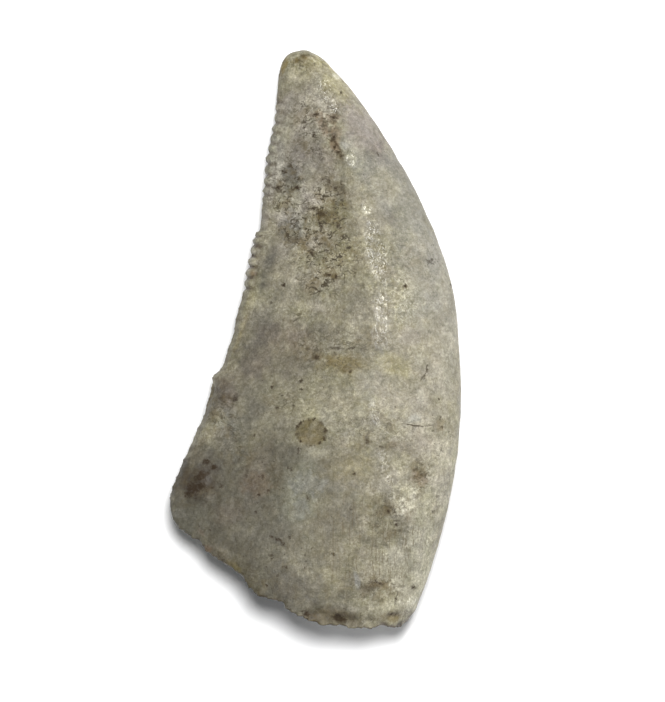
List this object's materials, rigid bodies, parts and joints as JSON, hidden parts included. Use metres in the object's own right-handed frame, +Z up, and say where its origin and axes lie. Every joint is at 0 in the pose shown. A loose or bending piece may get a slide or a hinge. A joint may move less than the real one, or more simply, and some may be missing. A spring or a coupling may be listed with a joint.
{
  "type": "richardoestesia tooth",
  "caption": "Shed crown of a small meat-eating dinosaur's tooth, narrow and curved back, with a finely serrated concave edge and a rough broken base, lying on its side.",
  "frame": {"origin": "under the middle of the crown's outline, on the surface that it lies on", "axes": "+Y towards the tip, +X towards the smooth front edge, +Z up, out of the face that shows"},
  "size_m": [0.0048, 0.0096, 0.0023],
  "materials": {
    "fossil_enamel": "satin, stained and finely pitted"
  },
  "bodies": {
    "root": {"tooth_crown": "fossil_enamel"}
  },
  "joints": []
}
